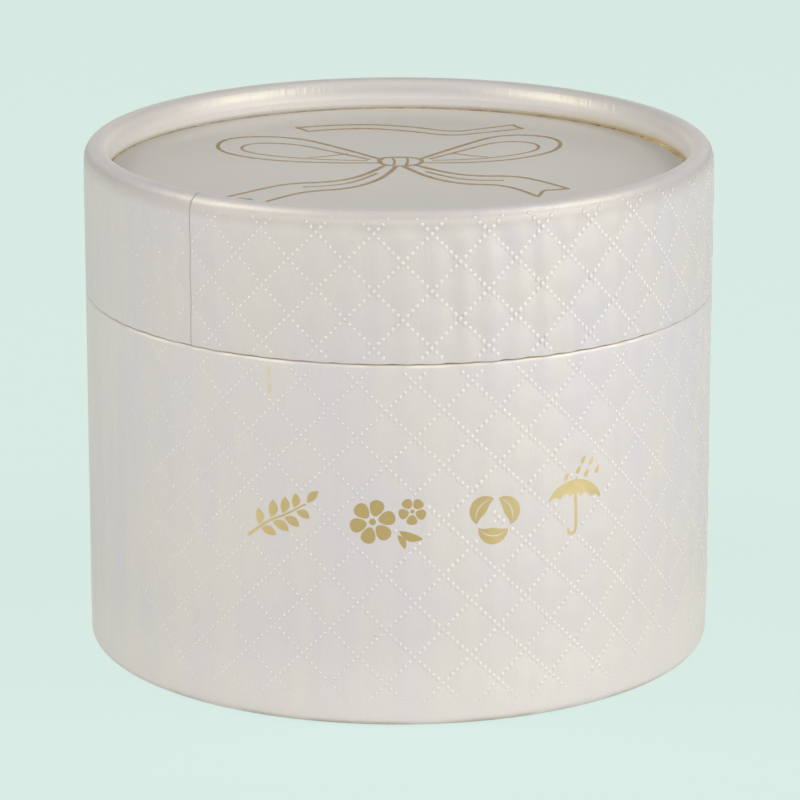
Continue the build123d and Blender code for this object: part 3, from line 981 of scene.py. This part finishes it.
# %% Collect the steps of a recipe
class Finish:
    """A material's nodes, from empty."""

    def __init__(self, name):
        self.material = bpy.data.materials.new(name)
        self.material.use_nodes = True
        self.tree = self.material.node_tree
        self.tree.nodes.clear()

    def add(self, kind, settings=None, sockets=None, out=0):
        """A node of one kind: its settings are set first, then the values or links of its sockets."""
        node = self.tree.nodes.new("ShaderNode" + kind)
        for name, value in (settings or {}).items():
            setattr(node, name, value)
        for name, value in (sockets or {}).items():
            if isinstance(value, Wire):
                self.tree.links.new(value.socket, node.inputs[name])
            else:
                node.inputs[name].default_value = value
        return Wire(self, node.outputs[out]) if len(node.outputs) else None

    def place(self):
        """The point on the surface, in the piece's own coordinates, in metres."""
        return self.add("TexCoord", out="Object")

    def along(self, stretch):
        """The same point with each direction stretched."""
        return self.add("Mapping", None, {"Vector": self.place(), "Scale": stretch})

    def split(self, vector):
        """The three numbers of a vector."""
        node = self.add("SeparateXYZ", None, {0: vector}).socket.node
        return [Wire(self, output) for output in node.outputs]

    def unrolled(self, radius, x, y, z, stretch):
        """A place on the wall that runs on over the rim, drawn out along the sheet by a stretch."""
        upright = (z - radius) * stretch
        sockets = {0: x / radius * (wall_radius * MM), 1: y / radius * (wall_radius * MM), 2: upright}
        return self.add("CombineXYZ", None, sockets)

    def noise(self, scale, detail=2.0, roughness=0.5, where=None):
        """Soft random blotches from 0 to 1, as many to the metre as the scale says."""
        sockets = {"Scale": scale, "Detail": detail, "Roughness": roughness}
        sockets["Vector"] = where or self.place()
        return self.add("TexNoise", None, sockets)

    def step(self, value, low, high):
        """0 below low, 1 above high, and a smooth rise between."""
        sockets = {"Value": value, "From Min": low, "From Max": high}
        return self.add("MapRange", {"interpolation_type": "SMOOTHSTEP"}, sockets)

    def blend(self, factor, first, second, mode="MIX"):
        """Two colours, mixed by a factor."""
        settings = {"data_type": "RGBA", "blend_type": mode}
        return self.add("Mix", settings, {0: factor, 6: first, 7: second}, out=2)

    def bump(self, height, distance, strength=1.0, normal=None):
        """A normal tilted by a height map: the height is 0 to 1 and the distance is its depth in metres."""
        sockets = {"Height": height, "Distance": distance, "Strength": strength}
        if normal is not None:
            sockets["Normal"] = normal
        return self.add("Bump", None, sockets)

    def surface(self, **sockets):
        """Ends the recipe in a Principled surface. An underscore in a name stands for a space."""
        named = {name.replace("_", " "): value for name, value in sockets.items()}
        shader = self.add("BsdfPrincipled", None, named)
        self.add("OutputMaterial", None, {"Surface": shader})
        return self.material


print("steps of a recipe:", " ".join(name for name in vars(Finish) if not name.startswith("_")))

# %% [markdown]
# ## Colours as the screen shows them
# A shader works with amounts of light, and a screen's 0 to 255 isn't one: half way up its scale is only
# a fifth of the light. The numbers could be converted by hand, but a helper does it where they are used.

# %% Turn a screen colour into a shader's
def colour(red, green, blue):
    """A colour given as it shows on screen, from 0 to 255, as the linear one that shaders use."""
    shown = np.array([red, green, blue]) / 255.0
    linear = np.where(shown <= 0.04045, shown / 12.92, ((shown + 0.055) / 1.055) ** 2.4)
    return (*linear.tolist(), 1.0)


print("a screen grey of 128 is", round(colour(128, 128, 128)[0], 4), "to a shader")

# %% [markdown]
# ## Pearl paper: the colour
# The paper is white stock under a coat of mica flakes. It is not quite white: lilac in some patches and
# warmer in others. Fine upright streaks, where the roller drew the fibres out, are a little darker.
# A picture of real paper could be wrapped round instead, but it would repeat, and blur close to.

# %% Mix the paper's colour
cool_white = colour(208, 206, 213)
warm_white = colour(212, 209, 210)
mica_tint = (1.0, 0.93, 0.64, 1.0)


def white_stock(paper, streaks, patch):
    """Cool and warm patches with faint streaks, and a few specks and smudges."""
    tone = paper.blend(paper.step(patch, 0.36, 0.64), cool_white, warm_white)
    tone = paper.blend(paper.step(paper.noise(28.0), 0.4, 0.65) * 0.4, tone, colour(215, 211, 207))
    tone = paper.blend(paper.step(streaks, 0.35, 0.75) * 0.10, tone, colour(184, 180, 176))
    specks = paper.step(paper.noise(850.0, 1.0), 0.80, 0.88)
    tone = paper.blend(specks * 0.5, tone, colour(140, 134, 126))
    smudge = paper.step(paper.noise(140.0, 2.0), 0.70, 0.84)
    return paper.blend(smudge * 0.2, tone, colour(180, 179, 178))


for name, tone in (("cool", cool_white), ("warm", warm_white)):
    print(name, "white, as a shader takes it:", [round(part, 3) for part in tone[:3]])

# %% [markdown]
# ## Pearl paper: the wear, and painted light and shade
# The board has browned the cut edges at the parting line and at the seam. The rounded fold just under the
# parting is painted paler at the front, a painted highlight. The foot is painted paler towards the floor, as
# painted light thrown up from it, and is brown in patches on its lowest millimetre. The rim's outer round
# has a grey band of painted shade, its inner leg is painted paler as painted light, and the glue has soaked
# up the leg and left a tan stain. Each could be painted on a picture, but as a mask it can be moved by one
# number: a step on the height, on the distance from the axis or on the turn, broken up by noise.

# %% Wear the edges and paint light and shade
stain_least, stain_swell = 0.0003, 0.0018


def browned_cut_and_fold_highlight(paper, tone, below, around):
    """Brown within a sixth of a millimetre of the parting, and a paler painted highlight on the fold below
    it in front.
    """
    worn = 1 - paper.step(below.math("ABSOLUTE"), 0.00003, 0.00016)
    worn = worn * paper.step(paper.noise(90.0), 0.2, 0.5)
    shown = (1 - paper.step(around, 0.75, 1.0)) * (1 - paper.step(0 - around, 1.0, 1.35))
    tone = paper.blend(worn * (0.2 + 0.6 * shown), tone, colour(164, 136, 86))
    # Painted highlight: the rounded fold just under the parting is painted paler, at the front only.
    folded = paper.step(below, 0.00014, 0.00024) * (1 - paper.step(below, 0.0004, 0.0007))
    painted_fold_highlight = folded * (0.2 + 0.8 * paper.step(paper.noise(110.0, 2.0), 0.42, 0.62))
    front = 1 - paper.step(around.math("ABSOLUTE"), 0.85, 1.1)
    return paper.blend(painted_fold_highlight * 0.8 * front, tone, colour(238, 235, 227))


def foot_bounce_light_and_brown(paper, tone, z):
    """Painted light thrown up from the floor, paler over the lowest centimetre and a half, and brown in
    patches on the last millimetre.
    """
    foot = (1 - paper.step(z, 0.0004, 0.0011)) * paper.step(paper.noise(110.0, 3.0), 0.35, 0.6)
    # Painted light: the lowest centimetre and a half is painted paler, as light thrown up from the floor.
    tone = paper.blend((1 - paper.step(z, 0.004, 0.016)) * 0.28, tone, colour(232, 228, 224))
    return paper.blend(foot * 0.5, tone, colour(168, 152, 128))


def rim_shade_leg_light_and_stain(paper, tone, radius, y, z, around):
    """Painted shade as a greyer band under the rim's outer round, painted light on the inner leg, and the
    stain of the glue on it.

    The stain is highest behind to the right: its height swells by exp(4.4 (cos(turn - 2.15) - 1)).
    """
    swell = (4.4 * (around - 2.15).math("COSINE") - 4.4).math("EXPONENT")
    soaked = z - panel_height * MM - 0.0011 * (paper.noise(170.0, 4.0, 0.6) - 0.5)
    stain = 1 - paper.step(soaked / (stain_least + stain_swell * swell), 0.0, 1.0)
    inside_rim = (1 - paper.step(radius, 0.0470, 0.0476)) * paper.step(z, 0.05, 0.06)
    # Painted shade: a grey band on the outer round, just under the rim's gleam.
    painted_shade_band = paper.step(z, 0.0772, 0.0790) * (1 - paper.step(z, 0.0797, 0.0806))
    painted_shade_band = painted_shade_band * paper.step(radius, 0.0478, 0.0484)
    tone = paper.blend(painted_shade_band * 0.45, tone, colour(184, 180, 177))
    # Painted light: the inner leg is painted paler, most just under the crest and least straight behind,
    # fading out over the crest.
    painted_leg_light = 0.75 - 0.42 * paper.step(y, 0.020, 0.044) + 0.3 * paper.step(z, 0.0790, 0.0800)
    painted_leg_light = painted_leg_light * (1 - 0.8 * paper.step(z, 0.0803, 0.0809))
    tone = paper.blend(inside_rim * painted_leg_light, tone, colour(232, 229, 226))
    return paper.blend(stain * inside_rim * (0.36 + 0.26 * swell), tone, colour(202, 178, 118))


def seam_and_drips(paper, tone, around, z, seam, drips):
    """A brown line along the lap's edge, and drips of glue as oval spots exp(-(wide^2 + high^2))."""
    if seam is not None:
        off = (around * wall_radius - seam).math("ABSOLUTE")
        tone = paper.blend((1 - paper.step(off, 0.05, 0.15)) * 0.85, tone, colour(160, 128, 82))
    for place, height in drips:
        wide, high = (around * wall_radius - place) / 0.32, (z / MM - height) / 0.9
        spot = (-1.0 * (wide * wide + high * high)).math("EXPONENT")
        tone = paper.blend(spot * 0.55, tone, colour(208, 188, 134))
    return tone


print(f"the stain rises {stain_least / MM:.1f} to {(stain_least + stain_swell) / MM:.1f} mm up the leg")

# %% [markdown]
# ## Pearl paper: the gleam
# The gloss has a warm tint over a cool ground, as mica has. Two bumps give it grain: the streaks, and the
# flakes, which also stir the roughness. Over the rim the sheet is stretched, so the streaks give way
# to coarser pulls. Inside the rim one more bump, which hangs on height alone, leans the leg's normal
# upwards and so puts its gleam just under the crest. It could be modelled as a wider flare, but the
# outline is right as it is. The beads are smoother than the sheet, and are painted lighter, most on the
# left, as painted highlights.

# %% Mix the pearl paper
def pearl_paper(name, seam=None, edges=True, grain=1.0, rough=0.46, shade=1.0, painted_flank_light=0.0, drips=()):
    """Pearl-coated paper with its colour, its wear, its painted light and shade, and its gleam.

    The grain scales both bumps, and the shade multiplies the whole colour: below 1 it darkens it, and above
    1 it lightens it, a painted highlight on the beads. The flank light paints a highlight on the left flank,
    as a lighter colour.
    The leg leans by the slope of a height: it falls by 1.82 mm in one smooth step, 4.2 mm tall, and by
    0.07 mm more in each millimetre.
    """
    paper = Finish(name)
    x, y, z = paper.split(paper.place())
    radius = (x * x + y * y) ** 0.5
    around = x.math("ARCTAN2", 0 - y)
    streaks = paper.noise(2600.0, 4.0, 0.65, paper.unrolled(radius, x, y, z, 0.40))
    pulls = paper.noise(1300.0, 1.0, 0.5, paper.unrolled(radius, x, y, z, 0.14))
    mica = paper.noise(4200.0, 2.0, 0.6)
    patch = paper.noise(230.0, 2.0, 0.5, paper.unrolled(radius, x, y, z, 0.25))
    tone = white_stock(paper, streaks, patch)
    if edges:
        tone = browned_cut_and_fold_highlight(paper, tone, parting_height * MM - z, around)
        tone = foot_bounce_light_and_brown(paper, tone, z)
        tone = rim_shade_leg_light_and_stain(paper, tone, radius, y, z, around)
    tone = seam_and_drips(paper, tone, around, z, seam, drips)
    tone = paper.blend(1.0, tone, (shade, shade, shade, 1.0), "MULTIPLY")
    # Painted highlight: the left flank is painted lighter.
    if painted_flank_light:
        flank = paper.step(0 - x, 0.004, 0.026) * (1 - 0.85 * paper.step(0 - x, 0.035, 0.045))
        tone = paper.blend(flank * painted_flank_light, tone, colour(250, 248, 244))
    inside = paper.step(z, 0.06, 0.061) * (1 - paper.step(radius, 0.0475, 0.0477))
    on_rim = paper.step(z + 0.0008 * inside, 0.0790, 0.0804)
    flared = 1.82 * (0.906 - paper.step(z, 0.0776, 0.0818)) + 0.07 * (crest_height - z / MM)
    tilt = paper.bump(flared * inside, MM if edges else 0.0, 1.0)
    tilt = paper.bump(streaks * (1 - 0.7 * on_rim) + pulls * on_rim * 1.6, 0.00007 * grain, 0.6, tilt)
    tilt = paper.bump(mica * (1 + 3.5 * on_rim * (1 - inside)), 0.00002 * grain, 0.5, tilt)
    return paper.surface(
        Base_Color=tone,
        Roughness=rough - (0.08 + 0.02 * inside) * on_rim + 0.12 * (mica - 0.5) + 0.10 * (streaks - 0.5),
        Metallic=0.10 + 0.20 * (mica - 0.5),
        Normal=tilt,
        IOR=1.75,
        Specular_IOR_Level=0.7,
        Specular_Tint=mica_tint,
    )


lid_finish = pearl_paper("pearl_paper_lid", seam=lid_seam, shade=0.96)
base_finish = pearl_paper("pearl_paper_base", seam=base_seam, drips=((-20.1, 55.3), (-20.0, 53.0)))
# The beads are painted a tenth lighter, and lighter still on the left flank: painted highlights.
bead_finish = pearl_paper("pearl_paper_beads", edges=False, grain=0.1, rough=0.30, shade=1.10, painted_flank_light=0.42)
smooth_finish = pearl_paper("pearl_paper_smooth", edges=False, grain=0.5)
print("pearl paper mixed for the lid, the base, the beads and the neck")

# %% [markdown]
# ## The panel, stained by glue
# The panel's paper is the same stock without the quilting, painted a little darker than the wall's as
# painted shade on the top. Around its edge the glue has soaked in and left a tan ring of uneven width, with
# a few dark specks. It could be a ring of its own laid on the panel, but a stain has no thickness, so it is
# a mask on the distance from the axis, and noise makes it wander.

# %% Mix the panel's paper
soak_width, speck_width = 1.1, 0.9


def panel_paper():
    """Smooth pearl paper, painted a little darker than the wall's as painted shade, with a soaked ring that
    runs from the leg inwards, and specks and dust.
    """
    paper = Finish("pearl_paper_panel")
    x, y = paper.split(paper.place())[:2]
    radius = (x * x + y * y) ** 0.5
    blotch = paper.noise(30.0, 3.0, 0.55)
    fibres = paper.noise(1100.0, 5.0, 0.6, paper.along((0.35, 1.0, 1.0)))
    mica = paper.noise(5200.0, 2.0, 0.6)
    # Painted shade: the panel's paper is a few levels darker than the wall's.
    tone = paper.blend(paper.step(blotch, 0.35, 0.7), colour(200, 199, 199), colour(205, 203, 202))
    wander = 0.0012 * (paper.noise(120.0, 4.0, 0.6) - 0.5)
    soak = paper.step(radius + wander, (leg - soak_width) * MM, (leg + 0.05) * MM)
    tone = paper.blend(soak * 0.5, tone, colour(196, 180, 142))
    specks = paper.step(paper.noise(900.0, 1.0), 0.70, 0.74)
    specks = specks * paper.step(radius, (leg - speck_width) * MM, (leg - 0.3) * MM)
    tone = paper.blend(specks * 0.7, tone, colour(84, 66, 44))
    dust = paper.step(paper.noise(420.0, 1.0), 0.775, 0.80)
    tone = paper.blend(dust * 0.35, tone, colour(140, 132, 122))
    tilt = paper.bump(fibres, 0.00003, 0.4)
    return paper.surface(
        Base_Color=tone,
        Roughness=0.42 + 0.08 * (mica - 0.5),
        Metallic=0.08 + 0.12 * (mica - 0.5),
        Normal=tilt,
        IOR=1.7,
        Specular_IOR_Level=0.6,
        Specular_Tint=mica_tint,
    )


panel_finish = panel_paper()
print(f"the ring on the panel is about {soak_width} mm wide")

# %% [markdown]
# ## Gold foil, gold ink and glue
# Satin foil is a metal with a little grain from the paper under it, rubbed duller in places, and painted
# paler towards the sides of the box as a painted reflection. The drawing's gold is printed ink, so it is
# darker and less of a metal. One gold for both would be simpler, but the two look different. The glue is a
# resin, amber where it is thick and dull brown where it is a thread, with painted shade in blotches along
# its foot.

# %% Mix the foil, the ink and the glue
def gold_foil():
    """A shiny metal, painted paler towards the sides of the box as a painted reflection, and darker where it
    is rubbed.
    """
    foil = Finish("gold_foil")
    grain = foil.noise(1500.0, 3.0, 0.6)
    worn = foil.step(foil.noise(260.0, 4.0, 0.6), 0.30, 0.62)
    x = foil.split(foil.place())[0]
    # Painted reflection: the foil is painted paler the farther it lies from just left of the front.
    painted_side_reflection = foil.step((x + 0.0016).math("ABSOLUTE"), 0.003, 0.030)
    tone = foil.blend(painted_side_reflection, colour(206, 174, 120), colour(240, 210, 158))
    tone = foil.blend(0.3 - 0.3 * worn, tone, colour(206, 170, 112))
    return foil.surface(
        Base_Color=tone,
        Metallic=0.92,
        Roughness=0.34 + 0.12 * (grain - 0.5),
        Normal=foil.bump(grain, 0.00002, 0.35),
    )


def drawing_gold():
    """Gold ink in two tones, with a blotchy grain."""
    ink = Finish("drawing_gold")
    grain = ink.noise(900.0, 3.0, 0.6)
    tone = ink.blend(ink.step(grain, 0.3, 0.7), colour(168, 142, 95), colour(195, 170, 120))
    return ink.surface(Base_Color=tone, Metallic=0.7, Roughness=0.42 + 0.1 * (grain - 0.5))


def yellow_glue():
    """Resin with clots and dirt: amber on the right, where it swells, a brown thread elsewhere, and painted
    shade in blotches along its lowest third of a millimetre.
    """
    resin = Finish("yellow_glue")
    clots = resin.noise(330.0, 4.0, 0.6)
    x, _, z = resin.split(resin.place())
    swell = resin.step(x, 0.020, 0.044)
    # Painted shade: the glue's lowest third of a millimetre, in the corner with the panel, is darkened in
    # blotches.
    low = 1 - resin.step(z, panel_height * MM, (panel_height + 0.35) * MM)
    tone = resin.blend(resin.step(clots, 0.32, 0.68), colour(224, 204, 156), colour(200, 176, 124))
    dull = resin.step(resin.noise(260.0, 3.0), 0.35, 0.6)
    tone = resin.blend(low * dull * 0.6, tone, colour(134, 112, 76))
    thread = resin.blend(resin.step(clots, 0.42, 0.56), colour(190, 176, 148), colour(118, 100, 72))
    tone = resin.blend(swell, thread, tone)
    dirt = resin.step(resin.noise(620.0, 2.0), 0.62, 0.68)
    tone = resin.blend(dirt * 0.7, tone, colour(92, 72, 50))
    return resin.surface(
        Base_Color=tone,
        Roughness=0.36 + 0.2 * clots,
        Normal=resin.bump(clots, 0.0001, 0.5),
        Specular_IOR_Level=0.5,
    )


foil_finish = gold_foil()
drawing_finish = drawing_gold()
glue_finish = yellow_glue()
print("mixed", foil_finish.name, drawing_finish.name, glue_finish.name)

# %% [markdown]
# ## Boards, lining, pile and satin
# Grey board shows its pulp and the lining its fibres. The platform is flocked, the cushion is short-pile
# velvet and the ribbon satin. They could be plain tints, as most of them are out of sight until the box is
# opened, but a fine noise at the scale of the fibres, and a sheen on the cloth, keep them apart.

# %% Mix the boards and the cloth
def pulp_board(name, light, dark):
    """Board with soft blotches of pulp from light to dark, and small grey flecks."""
    board = Finish(name)
    pulp = board.noise(600.0, 6.0, 0.7)
    fleck = board.step(board.noise(1900.0, 2.0), 0.62, 0.72)
    tone = board.blend(board.step(pulp, 0.3, 0.7), light, dark)
    tone = board.blend(fleck * 0.5, tone, colour(112, 102, 88))
    return board.surface(
        Base_Color=tone,
        Roughness=0.86 + 0.08 * (pulp - 0.5),
        Normal=board.bump(pulp, 0.00012, 0.6),
        Specular_IOR_Level=0.25,
    )


def plain_paper():
    """Cream lining paper with fine fibres."""
    paper = Finish("lining_paper")
    fibres = paper.noise(1000.0, 6.0, 0.65)
    tone = paper.blend(paper.step(fibres, 0.3, 0.7), colour(228, 224, 216), colour(215, 210, 200))
    return paper.surface(
        Base_Color=tone, Roughness=0.68 + 0.1 * (fibres - 0.5), Normal=paper.bump(fibres, 0.00005, 0.5)
    )


def pile_cloth(name, light, dark, depth):
    """Short pile: a fine, deep noise, with broader strokes where the nap lies differently."""
    cloth = Finish(name)
    pile = cloth.noise(2600.0, 3.0, 0.7)
    nap = cloth.noise(95.0, 3.0, 0.55, cloth.along((1.0, 0.6, 1.4)))
    tone = cloth.blend(cloth.step(nap, 0.35, 0.68), dark, light)
    tone = cloth.blend(cloth.step(pile, 0.3, 0.75) * 0.35, tone, light)
    return cloth.surface(
        Base_Color=tone,
        Roughness=0.85,
        Normal=cloth.bump(pile, depth, 0.8),
        Sheen_Weight=0.55,
        Sheen_Roughness=0.4,
        Sheen_Tint=(1.0, 0.95, 0.86, 1.0),
        Specular_IOR_Level=0.2,
    )


def satin_ribbon():
    """Satin: long floats along the ribbon, fine ribs across it."""
    satin = Finish("satin_ribbon")
    ribs = (satin.split(satin.place())[0] * 9000.0).math("SINE")
    floats = satin.noise(700.0, 3.0, 0.6, satin.along((3.0, 0.4, 0.4)))
    tone = satin.blend(satin.step(floats, 0.3, 0.7), colour(205, 180, 128), colour(224, 204, 160))
    return satin.surface(
        Base_Color=tone,
        Roughness=0.38 + 0.12 * (floats - 0.5),
        Normal=satin.bump(ribs * 0.5 + 0.5, 0.00002, 0.6),
        Sheen_Weight=0.3,
        Sheen_Roughness=0.3,
    )


board_finish = pulp_board("grey_board", colour(182, 172, 154), colour(164, 153, 136))
card_finish = pulp_board("white_card", colour(222, 216, 205), colour(208, 201, 188))
lining_finish = plain_paper()
flock_finish = pile_cloth("flocked_card", colour(222, 212, 194), colour(196, 184, 162), 0.0001)
velvet_finish = pile_cloth("cushion_velvet", colour(226, 216, 199), colour(211, 200, 181), 0.00016)
ribbon_finish = satin_ribbon()
for finish in (board_finish, card_finish, lining_finish, flock_finish, velvet_finish, ribbon_finish):
    print("mixed", finish.name)

# %% [markdown]
# ## Dressing the pieces
# Each new piece gets its finish and the name of the paper or cloth that it belongs to on the real box.
# The measured solids that stay as they are get theirs by name. One list could hold both, but only the new
# pieces need a slot: the solids have theirs already.

# %% Give every piece its finish
def dress(piece, material):
    """Puts one material on a piece."""
    piece.data.materials.clear()
    piece.data.materials.append(material)


dress(lid_paper, lid_finish)
dress(base_paper, base_finish)
for beads in (lid_beads, base_beads_front, base_beads_back):
    dress(beads, bead_finish)
for piece in foil_pieces:
    dress(piece, foil_finish)
dress(lid_drawing, drawing_finish)
dress(glue, glue_finish)
dress(cushion, velvet_finish)
dress(pull_ribbon, ribbon_finish)

solids_by_finish = [
    (board_finish, "base_tube base_disc neck_tube lid_tube lid_disc"),
    (lining_finish, "base_disc_face floor_lining neck_lining lid_ceiling"),
    (card_finish, "tray_ring tray_board tray_well"),
    (smooth_finish, "neck_wrap"),
    (panel_finish, "lid_disc_face"),
    (flock_finish, "tray_face"),
]
for material, names in solids_by_finish:
    for node in names.split():
        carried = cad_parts[node]
        if len(carried.material_slots):
            for place in carried.material_slots:
                place.material = material
        else:
            carried.data.materials.append(material)
print(sum(len(names.split()) for _, names in solids_by_finish), "measured solids dressed")

# %% [markdown]
# ## The floor
# The photograph's ground is an even mint. A plain mint sheet would tint the pale paper by the light that
# it throws back. So the floor shows mint to the camera and in reflections, and is warm white to everything
# else. A tenth of the mint is matt, which is enough to take a soft shadow.

# %% Lay the floor
reach = 3.0
floor_mesh = bpy.data.meshes.new("floor")
corners = [(-reach, -reach, 0), (reach, -reach, 0), (reach, reach, 0), (-reach, reach, 0)]
floor_mesh.from_pydata(corners, [], [(0, 1, 2, 3)])
floor = bpy.data.objects.new("floor", floor_mesh)
bpy.context.scene.collection.objects.link(floor)
ground = Finish("mint_ground")
mint = colour(218, 237, 231)
seen = ground.add("LightPath", out="Is Camera Ray") + ground.add("LightPath", out="Is Glossy Ray")
seen = seen + ground.add("LightPath", out="Is Transmission Ray")
glow = ground.add("Emission", None, {"Color": mint, "Strength": 1.0})
matt = ground.add("BsdfDiffuse", None, {"Color": mint})
shown = ground.add("MixShader", None, {0: 0.1, 1: glow, 2: matt})
warm = ground.add("BsdfDiffuse", None, {"Color": colour(232, 226, 222)})
both = ground.add("MixShader", None, {0: seen, 1: warm, 2: shown})
ground.add("OutputMaterial", None, {"Surface": both})
floor_mesh.materials.append(ground.material)
print(f"a mint floor, {2 * reach:.0f} m wide")

# %% [markdown]
# ## The lights
# Pale paper is photographed under large soft lights, and there are six. Two cool ones stand low at the
# front right and the front left, the right one stronger. Two warm ones hang high at the sides, for the
# gleam on the rim. A broad one fills in from the front, and a weak one behind lights the far edge.
# A single dome of light would be simpler, but it flattens the quilting.

# %% Hang the lights
light_distance = 0.95
light_aim = Vector((0, 0, 0.045))
cool_light, warm_light = (0.99, 0.98, 1.0), (1.0, 0.95, 0.82)


def soft_light(name, azimuth, elevation, width, height, power, tint):
    """A rectangular light that faces the box. Azimuth 0 is the camera's side, and 90 is the right."""
    data = bpy.data.lights.new(name, "AREA")
    data.shape = "RECTANGLE"
    data.size = width
    data.size_y = height
    data.energy = power
    data.color = tint
    light = bpy.data.objects.new(name, data)
    bpy.context.scene.collection.objects.link(light)
    a, e = math.radians(azimuth), math.radians(elevation)
    way = Vector((math.sin(a) * math.cos(e), -math.cos(a) * math.cos(e), math.sin(e)))
    light.location = light_aim + light_distance * way
    light.rotation_euler = way.to_track_quat("Z", "Y").to_euler()


soft_light("right_light", 60, 15, 0.60, 0.50, 3.4, cool_light)
soft_light("right_high_light", 84, 50, 0.40, 0.40, 2.9, warm_light)
soft_light("left_light", -60, 15, 0.60, 0.50, 1.6, cool_light)
soft_light("left_high_light", -84, 50, 0.40, 0.40, 3.0, warm_light)
soft_light("front_light", 0, 20, 1.60, 0.60, 4.1, (1.0, 0.99, 0.95))
soft_light("back_light", 180, 14, 1.00, 0.30, 0.75, (1.0, 0.99, 0.98))

world = bpy.data.worlds.new("studio")
world.use_nodes = True
bpy.context.scene.world = world
backdrop = world.node_tree.nodes["Background"]
backdrop.inputs["Color"].default_value = (0.88, 0.91, 1.0, 1.0)
backdrop.inputs["Strength"].default_value = 0.20
bpy.context.scene.view_settings.view_transform = "Standard"
print(len(bpy.data.lights), "lights and a pale world")

# %% [markdown]
# ## Last look
# The dressed box has to keep to the measured one: only the embossing stands a tenth of a millimetre proud.
